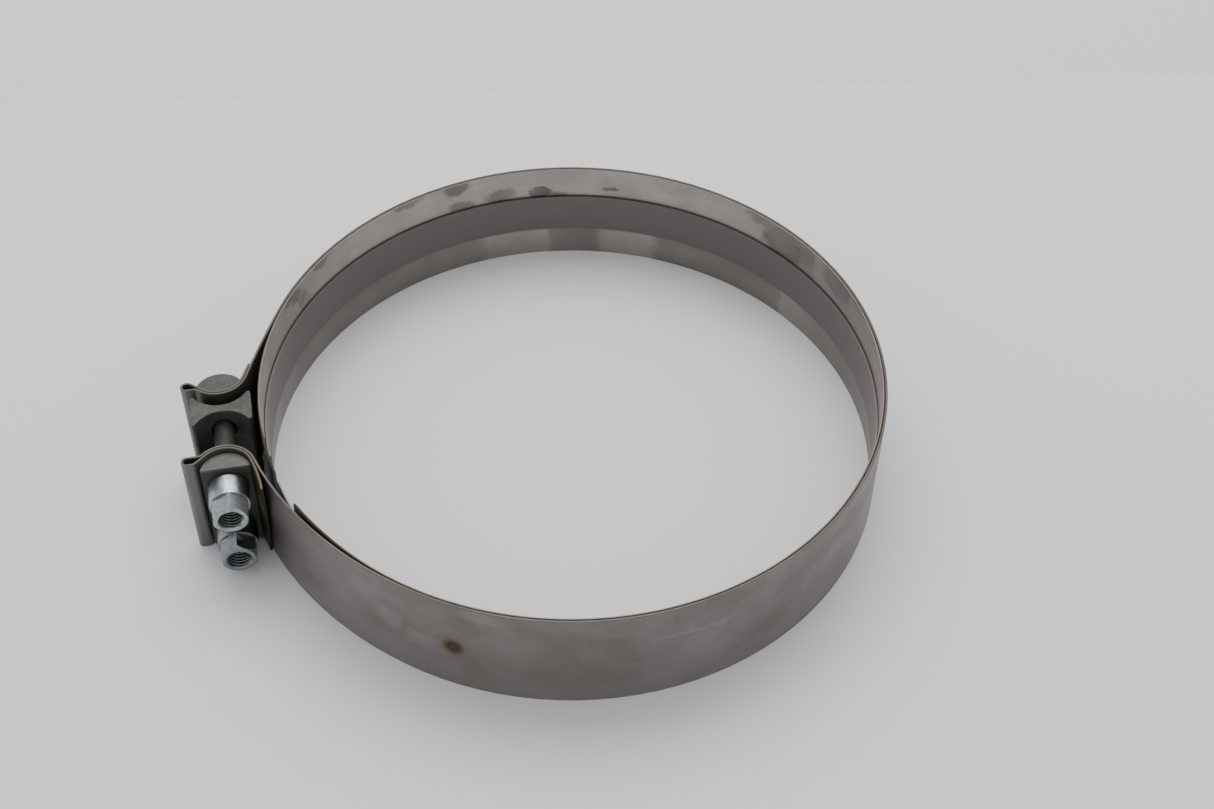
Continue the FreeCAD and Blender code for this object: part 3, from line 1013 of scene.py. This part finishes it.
def belt_steel():
    """Even dark steel, pale on its edges, with painted shade at their outer corners, where the belt
    meets the liner.
    """
    shader = Shader("belt_steel")
    place = shader.object_place()
    lines = rolled(shader, 23.0)
    cloud = shader.noise(shader.strip_place(1.0, 1.0, 9.0), 22.0, 4.0, 0.6)
    base = shader.blend(shader.spread(cloud, 0.3, 0.7), rgb(0.144, 0.136, 0.127),
                        rgb(0.165, 0.156, 0.146))
    edge = rim(shader, BELT_HALF)
    base = shader.blend(edge, base, rgb(0.19, 0.176, 0.164))
    # Painted shade: the edges' outer corners, against the liner, go near black.
    gap = shader.spread(bore_reach(shader), (BELT_OUTER - 0.3) * MM, (BELT_OUTER - 0.05) * MM)
    base = shader.blend(shader.times(edge, gap), base, rgb(0.02, 0.017, 0.015))
    rough = shader.spread(cloud, 0.3, 0.7, 0.5, 0.58)
    grain = shader.noise(place, 1900.0, 3.0, 0.7)
    normal = shader.bump(lines, 0.02 * MM, 0.25)
    normal = shader.bump(grain, 0.03 * MM, 0.4, normal)
    return shader.finish(base, rough, normal)


def plain_steel():
    """Dull tumbled steel for the block, the bar and the bolts."""
    shader = Shader("plain_steel")
    place = shader.object_place()
    grain = shader.noise(place, 900.0, 4.0, 0.65)
    cloud = shader.noise(place, 140.0, 4.0, 0.6, 0.3)
    pits = shader.node("TexVoronoi", {"feature": "SMOOTH_F1"}, Vector=place,
                       Scale=620.0, Smoothness=0.7).outputs["Distance"]
    base = shader.blend(shader.spread(cloud, 0.32, 0.68), rgb(0.046, 0.049, 0.042),
                        rgb(0.066, 0.07, 0.0605))
    height = shader.xyz(place)[2]
    depth = shader.xyz(place)[1]

    # The cut ends of the block and the heads are paler than their sides, and the bar's more so.
    cut = shader.spread(shader.math("ABSOLUTE", height),
                        (CUT_FACE - 1.1) * MM, (CUT_FACE - 0.7) * MM)
    mottle = shader.spread(cloud, 0.32, 0.68)
    block = shader.blend(mottle, rgb(0.057, 0.059, 0.052), rgb(0.08, 0.082, 0.073))
    bar = shader.blend(mottle, rgb(0.088, 0.09, 0.08), rgb(0.12, 0.122, 0.11))
    ends = shader.blend(shader.spread(depth, -12 * MM, -18 * MM), block, bar)
    base = shader.blend(cut, base, ends)

    # Painted shade: the bolts' stems are darkened all along, for the shade they lie in among the
    # block, ears, bar and nuts.
    stem = shader.times(within_bolt(shader, bolt_reach(shader)),
                        shader.spread(depth, (SHANK_END_Y - 0.5) * MM, (SHANK_END_Y - 1) * MM))
    base = shader.blend(shader.times(stem, 0.5), base, rgb(0.008, 0.0085, 0.007))
    base = shader.blend(shader.times(shader.spread(grain, 0.5, 0.7), 0.3), base,
                        shader.blend(cut, rgb(0.06, 0.062, 0.055), rgb(0.145, 0.146, 0.132)))

    rough = shader.spread(grain, 0.3, 0.7, 0.72, 0.6)
    normal = shader.bump(grain, 0.12 * MM, 0.35)
    normal = shader.bump(pits, 0.1 * MM, 0.25, normal)
    return shader.finish(base, rough, normal, 0.35)


def zinc_plate():
    """Bright plating, with painted shade: the lower nut is darker, and the tapped bores are dark,
    near black in the thread roots.
    """
    shader = Shader("zinc_plate")
    place = shader.object_place()
    out = bolt_reach(shader)
    _, depth, height = shader.xyz(place)
    bore = shader.times(within_bolt(shader, out),
                        shader.spread(depth, (NUT_FACE_Y + 0.55) * MM, (NUT_FACE_Y + 1.05) * MM))
    cloud = shader.noise(place, 330.0, 5.0, 0.65, 0.8)
    grain = shader.noise(place, 1500.0, 3.0, 0.6)
    base = shader.blend(shader.spread(cloud, 0.36, 0.64), rgb(0.25, 0.287, 0.287),
                        rgb(0.4, 0.445, 0.445))
    # Painted shade: the lower nut is darker than the upper one.
    base = shader.blend(shader.spread(height, 2 * MM, -2 * MM, 0.0, 0.6), base,
                        rgb(0.185, 0.209, 0.206))
    # Painted shade in the bores: near black in the thread roots, dim on the crests.
    crest = shader.spread(out, 4.75 * MM, 4.4 * MM)
    base = shader.blend(bore, base, shader.blend(crest, rgb(0.01, 0.011, 0.0105),
                                                 rgb(0.15, 0.162, 0.158)))
    rough = shader.spread(cloud, 0.34, 0.66, 0.38, 0.29)
    normal = shader.bump(grain, 0.03 * MM, 0.2)
    return shader.finish(base, rough, normal)


def dress(obj, material):
    """Gives a piece its one material, which carries a slot of the same name."""
    obj.data.materials.clear()
    obj.data.materials.append(material)


# ---------------------------------------------------------------- build

def bend_at_spring(obj):
    """Bakes the ring's placement into its mesh."""
    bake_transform(obj)


def build_rings():
    band, lengths = outer_band()
    dress(band, band_steel(*lengths))
    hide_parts("outer_band_rear", "outer_band_front")
    bend_at_spring(band)

    strip = liner()
    dress(strip, liner_steel())
    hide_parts("liner_rear", "liner_front")
    bend_at_spring(strip)

    belt = seal_belt()
    dress(belt, belt_steel())
    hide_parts("seal_belt_rear", "seal_belt_front")
    bend_at_spring(belt)


def build_hardware():
    plain = plain_steel()
    zinc = zinc_plate()
    for node, body, material, obj in (
        ("reaction_block", "reaction_block", plain, reaction_block()),
        ("clamp_bar", "clamp_bar", plain, clamp_bar()),
        ("t_bolt_upper", "root", plain, t_bolt("upper")),
        ("t_bolt_lower", "root", plain, t_bolt("lower")),
        ("nut_upper", "nut_upper", zinc, nut("upper", UPPER_NUT_TURN)),
        ("nut_lower", "nut_lower", zinc, nut("lower", LOWER_NUT_TURN)),
    ):
        dress(obj, material)
        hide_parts(node)
        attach(obj, body)


build_rings()
build_hardware()


# ---------------------------------------------------------------- stage

PAPER_THICKNESS = 0.8
TABLE_HALF = 2600

# The camera: a long lens that looks down at the bore from the front, turned a little to the
# left. Lengths here are in metres, but for the lens and its sensor.
CAMERA_AZIMUTH = -12.0
CAMERA_ELEVATION = 46.751
CAMERA_ROLL = 1.077
CAMERA_AIM = (0.0152, 0, 0)
CAMERA_DISTANCE = 0.7845
CAMERA_LENS = 53.97
CAMERA_SENSOR = 36


def sheet(name, corners, height, material):
    obj = mesh_object(name, [(x, y, height) for x, y in corners],
                      [tuple(range(len(corners)))])
    obj.data.materials.append(material)
    return obj


def stage():
    """A sheet of white paper on a table, with its far edge in view."""
    paper = Shader("paper").finish(rgb(0.715, 0.705, 0.725), 0.75, metallic=0.0)
    wall = Shader("backdrop").finish(rgb(0.70, 0.675, 0.64), 0.85, metallic=0.0)
    floor = -HALF_WIDTH
    sheet("paper", [(-1400, -1600), (1500, -1600), (1500, 51.5), (-1400, 454.7)], floor, paper)
    table = [(-TABLE_HALF, -TABLE_HALF), (TABLE_HALF, -TABLE_HALF),
             (TABLE_HALF, TABLE_HALF), (-TABLE_HALF, TABLE_HALF)]
    sheet("table", table, floor - PAPER_THICKNESS, wall)


def window():
    """A large soft light, behind and above the clamp, that faces the middle of the bore."""
    place = Vector((0.1, 0.8, 1.6))
    data = bpy.data.lights.new("window", "AREA")
    data.shape = "RECTANGLE"
    data.size = 1.6
    data.size_y = 1.2
    data.energy = 26.0
    data.color = (1.0, 0.995, 0.99)
    obj = bpy.data.objects.new("window", data)
    bpy.context.scene.collection.objects.link(obj)
    obj.rotation_euler = place.to_track_quat("Z", "Y").to_euler()
    obj.location = place


def room():
    """Light from all round, brightest from above and behind."""
    world = bpy.data.worlds.new("studio")
    bpy.context.scene.world = world
    world.use_nodes = True
    tree = world.node_tree
    way = tree.nodes.new("ShaderNodeTexCoord").outputs["Generated"]
    lean = tree.nodes.new("ShaderNodeVectorMath")
    lean.operation = "DOT_PRODUCT"
    lean.inputs[1].default_value = (0.0, 0.55, 0.83)
    tree.links.new(way, lean.inputs[0])
    light = tree.nodes.new("ShaderNodeMapRange")
    light.interpolation_type = "SMOOTHSTEP"
    for key, value in {"From Min": -0.5, "From Max": 0.5, "To Min": 0.55, "To Max": 1.05}.items():
        light.inputs[key].default_value = value
    tree.links.new(lean.outputs["Value"], light.inputs["Value"])
    sky = tree.nodes["Background"]
    sky.inputs[0].default_value = (0.98, 0.985, 1.0, 1.0)
    tree.links.new(light.outputs[0], sky.inputs[1])


def camera():
    azimuth = math.radians(CAMERA_AZIMUTH)
    elevation = math.radians(CAMERA_ELEVATION)
    roll = math.radians(CAMERA_ROLL)
    back = Vector((math.sin(azimuth) * math.cos(elevation),
                   -math.cos(azimuth) * math.cos(elevation), math.sin(elevation)))
    right = Vector((math.cos(azimuth), math.sin(azimuth), 0))
    up = back.cross(right)
    across = right * math.cos(roll) + up * math.sin(roll)
    top = up * math.cos(roll) - right * math.sin(roll)
    data = bpy.data.cameras.new("camera")
    data.lens = CAMERA_LENS
    data.sensor_width = CAMERA_SENSOR
    obj = bpy.data.objects.new("camera", data)
    bpy.context.scene.collection.objects.link(obj)
    placed = Matrix((across, top, back)).transposed().to_4x4()
    placed.translation = Vector(CAMERA_AIM) + back * CAMERA_DISTANCE
    obj.matrix_world = placed
    bpy.context.scene.camera = obj


stage()
room()
window()
camera()
